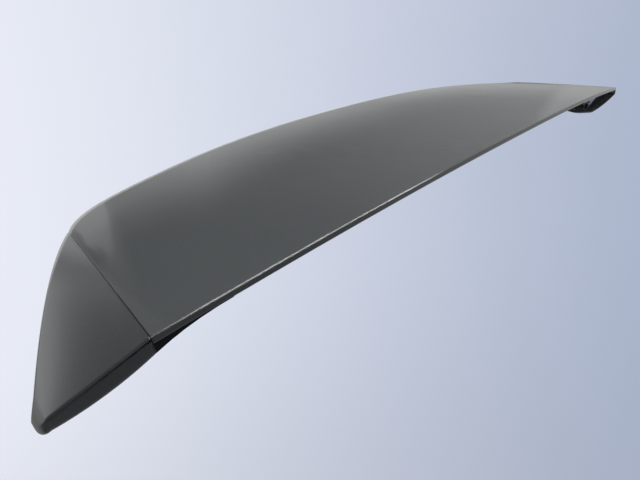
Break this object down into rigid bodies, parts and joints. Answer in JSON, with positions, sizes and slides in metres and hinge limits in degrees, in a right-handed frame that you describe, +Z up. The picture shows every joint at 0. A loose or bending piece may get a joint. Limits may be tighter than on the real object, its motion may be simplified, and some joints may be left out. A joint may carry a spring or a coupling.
{
  "type": "roof spoiler",
  "caption": "Car roof spoiler: a painted wing skin with turned-down side blades over a black lower panel, bolted to the top of a tailgate by studs.",
  "frame": {"origin": "middle of the four mounting studs, on the seat plane of the lower panel's towers", "axes": "+X towards the car's right, +Y towards the car's front, +Z up; the studs point down along -Z"},
  "size_m": [1.2066, 0.3726, 0.1413],
  "materials": {
    "dark_grey_paint": "satin paint on a moulding",
    "black_moulding": "fine grain",
    "zinc_steel": "zinc plated",
    "stud_steel": "zinc plated",
    "screw_steel": "black coated",
    "seal_rubber": "matt",
    "foam_rubber": "closed-cell foam",
    "clip_nylon": "natural nylon"
  },
  "bodies": {
    "root": {"upper_panel": "dark_grey_paint", "side_blade_left": "dark_grey_paint", "side_blade_right": "dark_grey_paint", "lower_panel": "black_moulding", "side_liner_left": "black_moulding", "side_liner_right": "black_moulding", "blade_bracket_left": "zinc_steel", "blade_bracket_right": "zinc_steel", "leading_edge_seal": "seal_rubber", "stud_gaskets": "foam_rubber", "mounting_studs": "stud_steel", "panel_screws": "screw_steel", "blade_screws": "screw_steel", "blade_nuts": "zinc_steel", "bracket_screws": "screw_steel", "tip_clips": "clip_nylon"}
  },
  "joints": []
}
